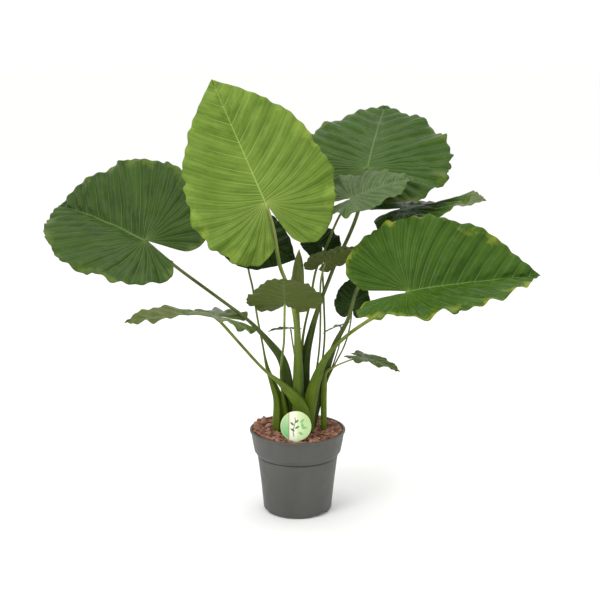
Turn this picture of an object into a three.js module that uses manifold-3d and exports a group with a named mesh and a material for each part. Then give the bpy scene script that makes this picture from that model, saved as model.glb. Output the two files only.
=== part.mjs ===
// Potted alocasia: an elephant-ear plant with sixteen leaves, grown from three corms in a nursery pot.
// Millimetres, +Z up. The origin is the centre of the pot's flat underside, and the plant's front is -Y.
import * as THREE from "three";
import { mergeVertices } from "three/addons/utils/BufferGeometryUtils.js";
import Module from "manifold-3d";

const wasm = await Module();
wasm.setup();

// ---- Driving dimensions -------------------------------------------------------------------------

const GAP = 0.3; // clearance between pieces that touch

// Pot: a moulded nursery pot with a collar, a step under the collar and drain slots round its foot.
const RIM_DIAMETER = 240;
const LIP_HEIGHT = 6; // the bead at the very top
const LIP_OVERHANG = 3;
const COLLAR_HEIGHT = 48;
const COLLAR_TAPER = 8; // how much the radius shrinks down the collar
const STEP_DEPTH = 8; // from the collar in to the body
const BASE_DIAMETER = 172;
const POT_HEIGHT = 210;
const POT_WALL = 2.6;
const POT_FLOOR = 3;
const FOOT_RADIUS = 8; // rounding of the lowest corner
const DRAIN_SLOTS = 3;
const DRAIN_WIDTH = 58;
const DRAIN_HEIGHT = 7;
const DRAIN_TURN = 313; // degrees from +X to the first slot
const POT_SIDES = 48; // facets round the pot and the mix

// Potting mix.
const SOIL_BELOW_RIM = 10; // at the wall
const SOIL_MOUND = 8; // how much higher it lies round the stems
const SOIL_RINGS = 6; // from the wall to the middle of the mound

// Plant care label: a round card on a stake.
const LABEL_DIAMETER = 75;
const LABEL_THICKNESS = 1.2;
const LABEL_STAKE_WIDTH = 16;
const LABEL_STAKE_DEPTH = 34; // how far it goes into the mix
const LABEL_LEAN = 5; // degrees, backwards
const LABEL_FROM_WALL = 6; // from the stake's tip to the pot's wall
const LABEL_ABOVE_SOIL = 9; // from the mix to the disc's lowest point
const LABEL_X = -4; // just left of the middle

// Leaves and leaf stems.
const BLADE_THICKNESS = 1.2;
const BLADE_HALF_WIDTH = 0.55; // from the midrib to the margin, as a share of the length
const MIDRIB_ROUNDING = 6; // radius at the bottom of the fold along the midrib
const MITRE_LIMIT = 6; // most that a grown margin's corner moves out, in clearances
const RUFFLE_FREE_TIP = 12; // degrees from the tip over which the ruffle grows in
const SINUS_ANGLE = 168; // degrees from the tip to each edge of the notch behind the junction
const STEM_SIDES = 8;
const STEM_STEP = 32; // length of stem between two rings
const STEM_INTO_BLADE = 5; // how far a stem's centre line runs past its blade before it is cut back

// Corms: the swollen bases that the leaf stems grow from.
const CORM_TOP_ABOVE_SOIL = 5;

const SOIL_EDGE_Z = POT_HEIGHT - SOIL_BELOW_RIM;
const SOIL_TOP_Z = SOIL_EDGE_Z + SOIL_MOUND;

const material = (color, roughness) =>
  new THREE.MeshStandardMaterial({ color, roughness, metalness: 0, side: THREE.DoubleSide });
const potPlastic = material(0x62635c, 0.55);
const pottingMix = material(0x7a4a38, 0.95);
const cormBark = material(0x8a6f4c, 0.9);
const labelCard = material(0xc9d7a8, 0.5);
const stemSkin = material(0x6f8a38, 0.45);
const leafGreen = (color) => material(color, 0.4);

// ---- Solids -------------------------------------------------------------------------------------

/** A closed geometry as a manifold solid, with its shared vertices merged. */
function solidOf(geometry) {
  const bare = geometry.clone();
  bare.deleteAttribute("normal");
  bare.deleteAttribute("uv");
  const merged = mergeVertices(bare, 1e-4);
  const corners = merged.index.array;
  const kept = [];
  for (let i = 0; i < corners.length; i += 3) {
    const [a, b, c] = corners.subarray(i, i + 3);
    if (a !== b && b !== c && c !== a) kept.push(a, b, c);
  }
  const mesh = new wasm.Mesh({
    numProp: 3,
    vertProperties: merged.attributes.position.array,
    triVerts: new Uint32Array(kept),
  });
  return new wasm.Manifold(mesh);
}

/** The vertices and triangles of a manifold solid as a three.js geometry. */
function geometryOf(solid) {
  const { vertProperties, triVerts, numProp } = solid.getMesh();
  const position = new Float32Array((vertProperties.length / numProp) * 3);
  for (let i = 0; i < position.length / 3; i++) {
    position.set(vertProperties.subarray(i * numProp, i * numProp + 3), i * 3);
  }
  const geometry = new THREE.BufferGeometry();
  geometry.setAttribute("position", new THREE.BufferAttribute(position, 3));
  geometry.setIndex(new THREE.BufferAttribute(triVerts, 1));
  geometry.computeVertexNormals();
  return geometry;
}

/** The solid with every cutter taken off; of what is left, the largest body. */
function cutBack(solid, cutters) {
  const left = cutters.reduce((rest, cutter) => rest.subtract(cutter), solid);
  const bodies = left.decompose();
  return bodies.reduce((big, body) => (body.volume() > big.volume() ? body : big));
}

/** A profile of [radius, height] pairs, turned about the Z axis. */
function turned(profile, sides) {
  const points = profile.map(([radius, height]) => new THREE.Vector2(radius, height));
  return new THREE.LatheGeometry(points, sides).rotateX(Math.PI / 2);
}

const group = new THREE.Group();

/** Adds one named mesh to the plant. */
function addMesh(name, geometry, meshMaterial) {
  const mesh = new THREE.Mesh(geometry, meshMaterial);
  mesh.name = name;
  group.add(mesh);
}

// ---- Pot ----------------------------------------------------------------------------------------

const rimRadius = RIM_DIAMETER / 2;
const collarRadius = rimRadius - LIP_OVERHANG;
const collarFootRadius = collarRadius - COLLAR_TAPER;
const bodyTopRadius = collarFootRadius - STEP_DEPTH;
const baseRadius = BASE_DIAMETER / 2;
const collarFootZ = POT_HEIGHT - LIP_HEIGHT - COLLAR_HEIGHT;
const bodyTopZ = collarFootZ - STEP_DEPTH;

/** Inner radius of the pot's wall at a height. */
function potInnerRadius(z) {
  const lerp = THREE.MathUtils.mapLinear;
  if (z >= collarFootZ) {
    return lerp(z, collarFootZ, POT_HEIGHT, collarFootRadius, collarRadius) - POT_WALL;
  }
  if (z >= bodyTopZ) {
    return lerp(z, bodyTopZ, collarFootZ, bodyTopRadius, collarFootRadius) - POT_WALL;
  }
  return lerp(z, FOOT_RADIUS, bodyTopZ, baseRadius, bodyTopRadius) - POT_WALL;
}

/** Wall and floor in one profile, from the middle of the underside round the lip to the inside. */
function potProfile() {
  const foot = [30, 60, 90].map((degrees) => {
    const angle = THREE.MathUtils.degToRad(degrees);
    const out = FOOT_RADIUS * Math.sin(angle);
    const up = FOOT_RADIUS * (1 - Math.cos(angle));
    return [baseRadius - FOOT_RADIUS + out, up];
  });
  return [
    [0, 0],
    [baseRadius - FOOT_RADIUS, 0],
    ...foot,
    [bodyTopRadius, bodyTopZ],
    [collarFootRadius, collarFootZ],
    [collarRadius, POT_HEIGHT - LIP_HEIGHT],
    [rimRadius, POT_HEIGHT - LIP_HEIGHT + LIP_OVERHANG],
    [rimRadius, POT_HEIGHT - 1],
    [rimRadius - 1, POT_HEIGHT],
    [potInnerRadius(POT_HEIGHT), POT_HEIGHT],
    [potInnerRadius(collarFootZ), collarFootZ],
    [potInnerRadius(bodyTopZ), bodyTopZ],
    [potInnerRadius(FOOT_RADIUS), FOOT_RADIUS],
    [baseRadius - FOOT_RADIUS, POT_FLOOR],
    [0, POT_FLOOR],
  ];
}

/** Drain slots cut through the lowest corner, evenly round the foot. */
function drainSlots() {
  return Array.from({ length: DRAIN_SLOTS }, (_, i) => {
    const turn = THREE.MathUtils.degToRad(DRAIN_TURN) + (i / DRAIN_SLOTS) * 2 * Math.PI;
    const box = new THREE.BoxGeometry(4 * FOOT_RADIUS, DRAIN_WIDTH, 2 * DRAIN_HEIGHT);
    box.translate(baseRadius, 0, 0);
    box.rotateZ(turn);
    return solidOf(box);
  });
}

const pot = cutBack(solidOf(turned(potProfile(), POT_SIDES)), drainSlots());
addMesh("pot", geometryOf(pot), potPlastic);

// ---- Corms --------------------------------------------------------------------------------------

// Each corm: its place, its radius and its depth in the mix.
const corms = {
  main_corm: { x: 8, y: -6, radius: 38, depth: 62 },
  left_offset_corm: { x: -50, y: -14, radius: 17, depth: 34 },
  right_offset_corm: { x: 66, y: -6, radius: 12, depth: 28 },
};

/** An onion-shaped corm with a rounded crown, grown outwards by a clearance. */
function cormSolid({ x, y, radius, depth }, grow) {
  const topZ = SOIL_TOP_Z + CORM_TOP_ABOVE_SOIL;
  const profile = [];
  const steps = 7;
  for (let i = 0; i <= steps; i++) {
    const angle = (i / steps) * Math.PI;
    const down = (1 - Math.cos(angle)) / 2;
    const out = (radius + grow) * Math.sin(angle) * (1 - 0.25 * down);
    profile.push([i % steps ? out : 0, topZ + grow - down * (depth + 2 * grow)]);
  }
  return solidOf(turned(profile.reverse(), 20).translate(x, y, 0));
}

// ---- Leaf blades --------------------------------------------------------------------------------

const rad = THREE.MathUtils.degToRad;
const vec = (xyz) => new THREE.Vector3(...xyz);

/** Distance from the junction to the margin of a flat blade, at an angle in degrees from its tip. */
function marginRadius(length, degrees) {
  const heart = 0.5 + 0.5 * Math.exp(-degrees / 46);
  const lobeRounding = 0.16 * Math.max(0, (degrees - 140) / 28) ** 2;
  const dripTip = 0.03 * Math.exp(-degrees / 4);
  return length * (0.97 * heart + dripTip - lobeRounding);
}

/** Bends a point of the flat blade: folded along the midrib, curled, ruffled, twisted and drooping. */
function bend(leaf, x, y) {
  const { length, fold, curl, droop, lobeDroop, twist, wave, waves, phase } = leaf;
  const half = BLADE_HALF_WIDTH * length;
  const across = rad(curl) / half + 1e-6;
  const start = rad(fold);
  const reach = Math.abs(y);
  const eased = Math.hypot(y, MIDRIB_ROUNDING) - MIDRIB_ROUNDING;
  const lateral = (Math.sin(start) - Math.sin(start - across * reach)) / across;
  const rise = (Math.cos(start - across * eased) - Math.cos(start)) / across;
  const along = (x > 0 ? rad(droop) / length : rad(lobeDroop) / half) + 1e-6;
  const degrees = Math.abs(Math.atan2(y, x)) * (180 / Math.PI);
  const share = Math.hypot(x, y) / marginRadius(length, Math.min(degrees, SINUS_ANGLE));
  const swing = Math.sin(waves * rad(degrees) + phase * Math.sign(y));
  const ruffle = wave * share ** 3 * swing * (1 - Math.exp(-degrees / RUFFLE_FREE_TIP));
  const turn = rad(twist) * (x / length);
  const out = Math.sign(y) * lateral * Math.cos(turn) - (rise + ruffle) * Math.sin(turn);
  const lift = Math.sign(y) * lateral * Math.sin(turn) + (rise + ruffle) * Math.cos(turn);
  return new THREE.Vector3(
    Math.sin(along * x) / along + lift * Math.sin(along * x),
    out,
    (Math.cos(along * x) - 1) / along + lift * Math.cos(along * x),
  );
}

/** Unit normal of the bent blade at a point, by finite differences. */
function bendNormal(leaf, x, y) {
  const d = 0.5;
  const alongX = bend(leaf, x + d, y).sub(bend(leaf, x - d, y));
  const alongY = bend(leaf, x, y + d).sub(bend(leaf, x, y - d));
  return alongX.cross(alongY).normalize();
}

/**
 * Points and triangles of the flat blade. Veins leave the midrib, or the junction, and run to the
 * margin; each vein holds the same number of points, and both halves share the midrib.
 */
function flatBlade(leaf) {
  const points = [];
  const known = new Map();
  const triangles = [];
  const pointId = (x, y) => {
    const key = Math.round(x * 100) + "," + Math.round(y * 100);
    if (!known.has(key)) known.set(key, points.push([x, y]) - 1);
    return known.get(key);
  };
  const vein = (i, side) => {
    const degrees = SINUS_ANGLE * (i / leaf.veins) ** 1.33;
    const startX = degrees < 75 ? leaf.length * (1 - degrees / 75) ** 2.2 : 0;
    const radius = marginRadius(leaf.length, degrees);
    const endX = radius * Math.cos(rad(degrees));
    const endY = side * radius * Math.sin(rad(degrees));
    return Array.from({ length: leaf.cells + 1 }, (_, j) => {
      const share = j / leaf.cells;
      return pointId(startX + (endX - startX) * share, i ? endY * share : 0);
    });
  };
  for (const side of [1, -1]) {
    for (let i = 0; i < leaf.veins; i++) {
      const near = vein(i, side);
      const far = vein(i + 1, side);
      for (let j = 0; j < leaf.cells; j++) {
        const quad = [near[j], near[j + 1], far[j + 1], far[j]];
        if (side < 0) quad.reverse();
        const [a, b, c, d] = quad;
        if (a !== b && b !== c && c !== a) triangles.push([a, b, c]);
        if (a !== c && c !== d && d !== a) triangles.push([a, c, d]);
      }
    }
  }
  return { points, triangles };
}

/** Edges of the triangles that belong to one triangle only. */
function boundaryEdges(triangles) {
  const edges = new Map();
  for (const [a, b, c] of triangles) {
    for (const [from, to] of [[a, b], [b, c], [c, a]]) {
      if (!edges.delete(to + "," + from)) edges.set(from + "," + to, [from, to]);
    }
  }
  return [...edges.values()];
}

/** Moves each boundary point of a flat blade outwards in its plane, mitred at the corners. */
function grownPoints(points, edges, grow) {
  const outward = points.map(() => new THREE.Vector2());
  for (const [from, to] of edges) {
    const dx = points[to][0] - points[from][0];
    const dy = points[to][1] - points[from][1];
    const out = new THREE.Vector2(dy, -dx).normalize();
    outward[from].add(out);
    outward[to].add(out);
  }
  return points.map(([x, y], i) => {
    const sum = outward[i].length(); // 2 on a straight edge, less at a corner
    if (sum < 1e-6) return [x, y];
    const step = outward[i].setLength(Math.min((2 * grow) / sum, MITRE_LIMIT * grow));
    return [x + step.x, y + step.y];
  });
}

/** The frame of a blade: X along the midrib, Z out of the upper face, at the junction. */
function bladeFrame(leaf) {
  const chord = vec(leaf.tipward).normalize();
  const face = vec(leaf.face);
  face.addScaledVector(chord, -face.dot(chord)).normalize();
  const half = rad(leaf.droop) / 2;
  const alongX = chord.clone().multiplyScalar(Math.cos(half)).addScaledVector(face, Math.sin(half));
  const alongZ = face.clone().multiplyScalar(Math.cos(half)).addScaledVector(chord, -Math.sin(half));
  const alongY = alongZ.clone().cross(alongX);
  const frame = new THREE.Matrix4().makeBasis(alongX, alongY, alongZ);
  return frame.setPosition(vec(leaf.junction));
}

/** A blade as a closed solid, grown outwards by a clearance. */
function bladeSolid(leaf, grow) {
  const { points, triangles } = flatBlade(leaf);
  const edges = boundaryEdges(triangles);
  const frame = bladeFrame(leaf);
  const half = BLADE_THICKNESS / 2 + grow;
  const positions = [];
  const flat = grow > 0 ? grownPoints(points, edges, grow) : points;
  for (const side of [half, -half]) {
    for (const [x, y] of flat) {
      const point = bend(leaf, x, y).addScaledVector(bendNormal(leaf, x, y), side);
      positions.push(...point.applyMatrix4(frame).toArray());
    }
  }
  const count = points.length;
  const index = [];
  for (const [a, b, c] of triangles) {
    index.push(a, b, c, count + a, count + c, count + b);
  }
  for (const [a, b] of edges) {
    index.push(a, count + a, count + b, a, count + b, b);
  }
  const geometry = new THREE.BufferGeometry();
  geometry.setAttribute("position", new THREE.Float32BufferAttribute(positions, 3));
  geometry.setIndex(index);
  return solidOf(geometry);
}

// ---- Leaf stems ---------------------------------------------------------------------------------

/** Radius of a stem at a share of its length: a broad sheath below, a slim stalk above. */
function stemRadius({ sheath, stalk, opening }, share) {
  const below = 1 - THREE.MathUtils.smoothstep(share, opening - 0.28, opening + 0.1);
  return stalk + (sheath - stalk) * below;
}

/** A stem as a closed tapering tube along a smooth curve, grown outwards by a clearance. */
function stemSolid(stem, grow, radiusAt = stemRadius) {
  const curve = new THREE.CatmullRomCurve3(stem.route.map(vec), false, "centripetal");
  const steps = Math.max(4, Math.round(curve.getLength() / STEM_STEP));
  const frames = curve.computeFrenetFrames(steps, false);
  const positions = [];
  const index = [];
  for (let i = 0; i <= steps; i++) {
    const centre = curve.getPointAt(i / steps);
    const radius = radiusAt(stem, i / steps) + grow;
    if (i === 0) centre.addScaledVector(frames.tangents[i], -grow);
    if (i === steps) centre.addScaledVector(frames.tangents[i], grow);
    for (let k = 0; k < STEM_SIDES; k++) {
      const angle = (k / STEM_SIDES) * 2 * Math.PI;
      const point = centre.clone().addScaledVector(frames.normals[i], radius * Math.cos(angle));
      point.addScaledVector(frames.binormals[i], radius * Math.sin(angle));
      positions.push(...point.toArray());
    }
  }
  const ring = (i, k) => i * STEM_SIDES + (k % STEM_SIDES);
  for (let i = 0; i < steps; i++) {
    for (let k = 0; k < STEM_SIDES; k++) {
      const corners = [ring(i, k), ring(i, k + 1), ring(i + 1, k + 1), ring(i + 1, k)];
      index.push(corners[0], corners[1], corners[2], corners[0], corners[2], corners[3]);
    }
  }
  for (let k = 1; k < STEM_SIDES - 1; k++) {
    index.push(ring(0, 0), ring(0, k + 1), ring(0, k));
    index.push(ring(steps, 0), ring(steps, k), ring(steps, k + 1));
  }
  const geometry = new THREE.BufferGeometry();
  geometry.setAttribute("position", new THREE.Float32BufferAttribute(positions, 3));
  geometry.setIndex(index);
  return solidOf(geometry);
}

// ---- The leaves ---------------------------------------------------------------------------------
// Heights are above the top of the mix, so the plant rises and falls with its pot. A stem's route
// starts inside its corm and is carried on to its blade's junction. "tipward" points from the
// junction to the tip and "face" out of the upper side. Angles are degrees.
//   fold       how steeply each half rises from the midrib
//   curl       how far each half bends back down on its way to the margin
//   droop      how far the blade bends down from the junction to the tip
//   lobeDroop  how far the two back lobes bend down
//   twist      how far the blade turns about its midrib from the junction to the tip
//   wave       height of the ruffle at the margin

const big = { veins: 14, cells: 4, waves: 11, lobeDroop: 14, twist: 0, wave: 5, opening: 0.45 };
const small = { veins: 9, cells: 3, waves: 7, lobeDroop: 14, twist: 0, wave: 2, opening: 0.35 };

// Stems are listed from the heart of the crown outwards: each sheath wraps those before it.
const leaves = [
  {
    ...small,
    name: "mid_right_leaf",
    color: 0x4d6330,
    length: 104,
    junction: [67, -6, 428],
    tipward: [0.66, -0.6, 0.46],
    face: [-0.1, 0.45, 0.85],
    fold: 8,
    curl: 20,
    droop: 16,
    phase: 0.5,
    sheath: 6,
    stalk: 2.5,
    corm: "main_corm",
    route: [[16, 2, -12], [38, 16, 90], [54, 30, 200], [57, 38, 275], [57, 26, 370]],
  },
  {
    ...small,
    name: "inner_leaf",
    color: 0x33491f,
    length: 90,
    junction: [60, 96, 452],
    tipward: [-0.25, 0.85, 0.45],
    face: [0, -0.5, 0.85],
    fold: 10,
    curl: 20,
    droop: 20,
    phase: 2,
    sheath: 6,
    stalk: 2.5,
    corm: "main_corm",
    route: [[22, 8, -12], [48, 26, 90], [67, 46, 210], [66, 66, 310], [62, 90, 400]],
  },
  {
    ...small,
    name: "folded_leaf",
    color: 0x6b7f55,
    veins: 11,
    cells: 4,
    length: 162,
    lobeDroop: 4,
    junction: [131, -28, 589],
    tipward: [0.92, 0.23, 0.25],
    face: [0, -0.31, 0.95],
    fold: 14,
    curl: 22,
    droop: 14,
    wave: 4,
    waves: 9,
    phase: 1,
    sheath: 7,
    stalk: 3,
    corm: "main_corm",
    route: [[8, 8, -12], [13, 20, 229], [31, 40, 317], [46, 48, 398], [70, 44, 456], [102, 4, 540]],
  },
  {
    ...big,
    name: "front_leaf",
    color: 0x6f9440,
    length: 312,
    junction: [-75, -100, 587],
    tipward: [-0.4, 0.16, 0.9],
    face: [0, -1, 0.17],
    fold: 9,
    curl: 26,
    droop: 12,
    phase: 0.6,
    sheath: 13,
    stalk: 4.5,
    corm: "main_corm",
    route: [[0, -14, -12], [-4, -25, 275], [-28, -50, 387], [-42, -62, 429], [-58, -78, 524]],
  },
  {
    ...big,
    name: "back_right_leaf",
    color: 0x56753f,
    length: 370,
    lobeDroop: 4,
    junction: [175, 120, 645],
    tipward: [0.175, 0.92, 0.345],
    face: [-0.05, -0.35, 0.93],
    fold: 6,
    curl: 20,
    droop: 14,
    phase: 2.2,
    sheath: 12,
    stalk: 4.5,
    corm: "main_corm",
    route: [
      [20, 14, -12], [21, 15, 175], [36, 25, 250], [56, 35, 317], [76, 45, 368], [98, 60, 421],
      [123, 75, 468], [150, 92, 534],
    ],
  },
  {
    ...big,
    name: "right_tilted_leaf",
    color: 0x45602b,
    length: 236,
    twist: -40,
    lobeDroop: 10,
    junction: [262, 106, 544],
    tipward: [0.94, 0.337, 0.03],
    face: [0, -0.15, 0.989],
    fold: 6,
    curl: 16,
    droop: 8,
    phase: 3,
    sheath: 10,
    stalk: 4.5,
    corm: "main_corm",
    route: [
      [32, 4, -12], [60, 2, 110], [93, 4, 218], [124, 8, 280], [146, 22, 350], [182, 48, 412],
      [226, 80, 478],
    ],
  },
  {
    ...small,
    name: "low_centre_leaf",
    color: 0x5c6b35,
    veins: 11,
    cells: 4,
    length: 160,
    lobeDroop: -25,
    junction: [-30, -100, 348],
    tipward: [0, -0.85, 0.52],
    face: [0, 0.5, 0.86],
    fold: 4,
    curl: 16,
    droop: 14,
    wave: 3,
    phase: 0.3,
    sheath: 8,
    stalk: 2.8,
    corm: "main_corm",
    route: [[-18, -14, -12], [-41, -26, 140], [-39, -46, 190], [-33, -66, 241], [-31, -90, 310]],
  },
  {
    ...big,
    name: "right_front_leaf",
    color: 0x4f7c30,
    length: 318,
    junction: [262, -150, 387],
    tipward: [0.984, 0.157, 0.08],
    face: [0, -0.58, 0.81],
    fold: 34,
    curl: 10,
    droop: 8,
    phase: 1.4,
    sheath: 15,
    stalk: 4.5,
    corm: "main_corm",
    route: [
      [26, -22, -12], [30, -26, 58], [48, -30, 142], [74, -40, 203], [115, -60, 253],
      [164, -90, 298], [195, -115, 323], [228, -140, 356],
    ],
  },
  {
    ...big,
    name: "left_leaf",
    color: 0x3f6128,
    length: 350,
    junction: [-371, 0, 480],
    tipward: [-0.72, 0.68, 0.145],
    face: [-0.38, -0.5, 0.78],
    fold: 32,
    curl: 18,
    droop: 20,
    phase: 0.9,
    sheath: 14,
    stalk: 4.2,
    corm: "main_corm",
    route: [
      [-14, 0, -12], [-22, -2, 100], [-38, -5, 180], [-70, -5, 226], [-117, -5, 278],
      [-190, 0, 334], [-300, 0, 418],
    ],
  },
  {
    ...big,
    name: "low_left_leaf",
    color: 0x6c7a52,
    veins: 12,
    length: 220,
    twist: 30,
    junction: [-202, -50, 303],
    tipward: [-0.963, -0.268, -0.012],
    face: [0, 0.1, 0.99],
    fold: 6,
    curl: 14,
    droop: 24,
    wave: 4,
    phase: 1.9,
    sheath: 18,
    stalk: 3.8,
    corm: "main_corm",
    route: [
      [10, -34, -12], [10, -46, 68], [-36, -57, 131], [-82, -60, 172], [-140, -56, 236],
      [-184, -52, 286],
    ],
  },
  {
    ...small,
    name: "hanging_leaf",
    color: 0x2f421c,
    length: 140,
    junction: [-130, 50, 484],
    tipward: [0.9, -0.1, -0.42],
    face: [0.2, -0.9, 0.4],
    fold: 8,
    curl: 20,
    droop: 24,
    phase: 1.2,
    sheath: 14,
    stalk: 2.5,
    corm: "left_offset_corm",
    route: [
      [-50, -14, -12], [-49, -15, 80], [-61, -6, 118], [-76, 4, 160], [-88, 18, 219],
      [-100, 26, 281], [-112, 36, 357], [-122, 42, 402],
    ],
  },
  {
    ...small,
    name: "small_right_leaf",
    color: 0x36511f,
    length: 80,
    junction: [136, 60, 306],
    tipward: [0.1, 0.6, 0.75],
    face: [-0.1, -0.8, 0.6],
    fold: 8,
    curl: 20,
    droop: 16,
    phase: 2.6,
    sheath: 4.5,
    stalk: 2,
    corm: "right_offset_corm",
    route: [[66, -3, -10], [69, -4, 110], [95, 3, 172], [113, 20, 202], [126, 40, 233], [134, 54, 270]],
  },
  {
    ...small,
    name: "tiny_back_leaf",
    color: 0x3c4f26,
    length: 52,
    cells: 2,
    junction: [110, 100, 244],
    tipward: [-0.85, -0.3, -0.35],
    face: [-0.2, 0.3, 0.9],
    fold: 8,
    curl: 20,
    droop: 16,
    phase: 1,
    wave: 1.5,
    sheath: 3,
    stalk: 1.8,
    corm: "right_offset_corm",
    route: [[67, -1, -10], [70, 2, 110], [93, 22, 174], [105, 58, 202], [110, 88, 228]],
  },
  {
    ...small,
    name: "low_right_leaf",
    color: 0x55713a,
    length: 100,
    junction: [161, -20, 192],
    tipward: [0.9, -0.31, -0.3],
    face: [0.25, 0, 0.97],
    fold: 6,
    curl: 16,
    droop: 20,
    phase: 0.4,
    sheath: 7.5,
    stalk: 2,
    opening: 0.7,
    corm: "right_offset_corm",
    route: [[66, -6, -10], [66, -8, 110], [70, -10, 150], [95, -14, 168], [136, -18, 186]],
  },
  {
    ...small,
    name: "small_back_leaf",
    color: 0x4a5d30,
    length: 62,
    cells: 2,
    junction: [-18, 84, 240],
    tipward: [-0.9, 0.2, -0.2],
    face: [0.1, 0.25, 0.95],
    fold: 8,
    curl: 20,
    droop: 16,
    phase: 0,
    wave: 1.5,
    sheath: 4,
    stalk: 2,
    corm: "main_corm",
    route: [[6, 20, -12], [0, 40, 80], [-6, 62, 160], [-14, 78, 212]],
  },
];

// The youngest leaf is still rolled up: a spindle on a stem of its own at the heart of the crown.
const rolledLeaf = {
  name: "young_rolled_leaf",
  color: 0x7d8a55,
  corm: "main_corm",
  sheath: 9,
  stalk: 6,
  opening: 0.4,
  spindle: 17,
  route: [[10, -2, -12], [10, 0, 100], [4, -4, 210], [-1, -4, 300]],
  spindleRoute: [[-1, -4, 300], [-1, -3, 345], [1, -1, 400], [4, 0, 459]],
};

/** The same route or point, raised from the top of the mix to the part's own frame. */
const raised = ([x, y, z]) => [x, y, z + SOIL_TOP_Z];

/** Radius of the rolled leaf at a share of its length: fullest low down, pointed at the top. */
function spindleRadius({ stalk, spindle }, share) {
  const swell = Math.sin(Math.PI * Math.min(1, share * 3) * 0.5);
  return Math.max(1, (stalk + (spindle - stalk) * swell) * (1 - share ** 4));
}

// ---- Assembly -----------------------------------------------------------------------------------

const cormsGrown = Object.fromEntries(
  Object.entries(corms).map(([name, corm]) => [name, cormSolid(corm, GAP)]),
);
const placedStems = []; // each stem grown by the clearance, to cut what wraps it

/** Cuts a stem back from its corm, its blade and the stems inside it, and adds it. */
function addStem(leaf, stem, bladeGrown) {
  const cutters = [...Object.values(cormsGrown), ...placedStems, bladeGrown];
  addMesh(leaf.name + "_stem", geometryOf(cutBack(stemSolid(stem, 0), cutters)), stemSkin);
  placedStems.push(stemSolid(stem, GAP));
}

{
  const bladeStem = { ...rolledLeaf, route: rolledLeaf.spindleRoute.map(raised) };
  const blade = stemSolid(bladeStem, 0, spindleRadius);
  addMesh(rolledLeaf.name + "_blade", geometryOf(blade), leafGreen(rolledLeaf.color));
  const stem = { ...rolledLeaf, route: rolledLeaf.route.map(raised) };
  const bladeGrown = stemSolid(bladeStem, GAP, spindleRadius);
  addStem(rolledLeaf, stem, bladeGrown);
  placedStems.push(bladeGrown);
}

for (const flatLeaf of leaves) {
  const leaf = { ...flatLeaf, junction: raised(flatLeaf.junction) };
  const blade = bladeSolid(leaf, 0);
  addMesh(leaf.name + "_blade", geometryOf(blade), leafGreen(leaf.color));
  const route = leaf.route.map(raised);
  const last = vec(route.at(-1));
  const end = vec(leaf.junction);
  const overrun = end.clone().sub(last).setLength(STEM_INTO_BLADE);
  route.push(end.add(overrun).toArray());
  addStem(leaf, { ...leaf, route }, bladeSolid(leaf, GAP));
}

for (const [name, corm] of Object.entries(corms)) {
  addMesh(name, geometryOf(cormSolid(corm, 0)), cormBark);
}

// Care label: the disc and its stake are one flat piece, leaning back a little.
const labelRadius = LABEL_DIAMETER / 2;

/** The label, grown outwards by a clearance. */
function labelSolid(grow) {
  const thickness = LABEL_THICKNESS + 2 * grow;
  const disc = new THREE.CylinderGeometry(labelRadius + grow, labelRadius + grow, thickness, 40);
  const stakeLength = labelRadius + LABEL_ABOVE_SOIL + LABEL_STAKE_DEPTH;
  const stake = new THREE.BoxGeometry(LABEL_STAKE_WIDTH + 2 * grow, thickness, stakeLength + grow);
  stake.translate(0, 0, -(stakeLength + grow) / 2);
  const joined = solidOf(disc).add(solidOf(stake));
  const lean = new THREE.Matrix4().makeRotationX(-rad(LABEL_LEAN));
  const tipZ = SOIL_EDGE_Z - LABEL_STAKE_DEPTH;
  const tipY = LABEL_FROM_WALL - potInnerRadius(tipZ);
  const place = lean.setPosition(
    LABEL_X,
    tipY + (stakeLength + grow) * Math.sin(rad(LABEL_LEAN)),
    SOIL_EDGE_Z + labelRadius + LABEL_ABOVE_SOIL,
  );
  return solidOf(geometryOf(joined).applyMatrix4(place));
}

addMesh("care_label", geometryOf(labelSolid(0)), labelCard);

/** Height of the mix at a radius: level at the wall and mounded round the stems. */
function soilHeight(share) {
  const mound = 0.5 + 0.5 * Math.cos(Math.PI * Math.min(1, share));
  return SOIL_EDGE_Z + SOIL_MOUND * mound;
}

/** The mix fills the pot: it follows the wall and floor with a clearance. */
function soilSolid() {
  const wall = [POT_FLOOR + GAP, FOOT_RADIUS, bodyTopZ, collarFootZ, SOIL_EDGE_Z].map((z) => [
    (z < FOOT_RADIUS ? baseRadius - FOOT_RADIUS : potInnerRadius(z)) - GAP,
    z,
  ]);
  const reach = wall.at(-1)[0];
  const top = [];
  for (let i = 1; i <= SOIL_RINGS; i++) {
    const share = 1 - i / SOIL_RINGS;
    top.push([share * reach, soilHeight(share)]);
  }
  const profile = [[0, POT_FLOOR + GAP], ...wall, ...top];
  return solidOf(turned(profile, POT_SIDES));
}

const soil = cutBack(soilSolid(), [...Object.values(cormsGrown), ...placedStems, labelSolid(GAP)]);
addMesh("potting_mix", geometryOf(soil), pottingMix);

export default group;
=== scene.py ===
# %% [markdown]
# # Potted alocasia
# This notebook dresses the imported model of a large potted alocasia: sixteen ribbed leaves on long sheathed
# stems, growing from bark mix in a plastic nursery pot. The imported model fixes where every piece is. What is
# made here are finer surfaces for the same pieces, and their materials. All shapes are worked out in
# millimetres with numpy and become metres when they turn into meshes.

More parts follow.
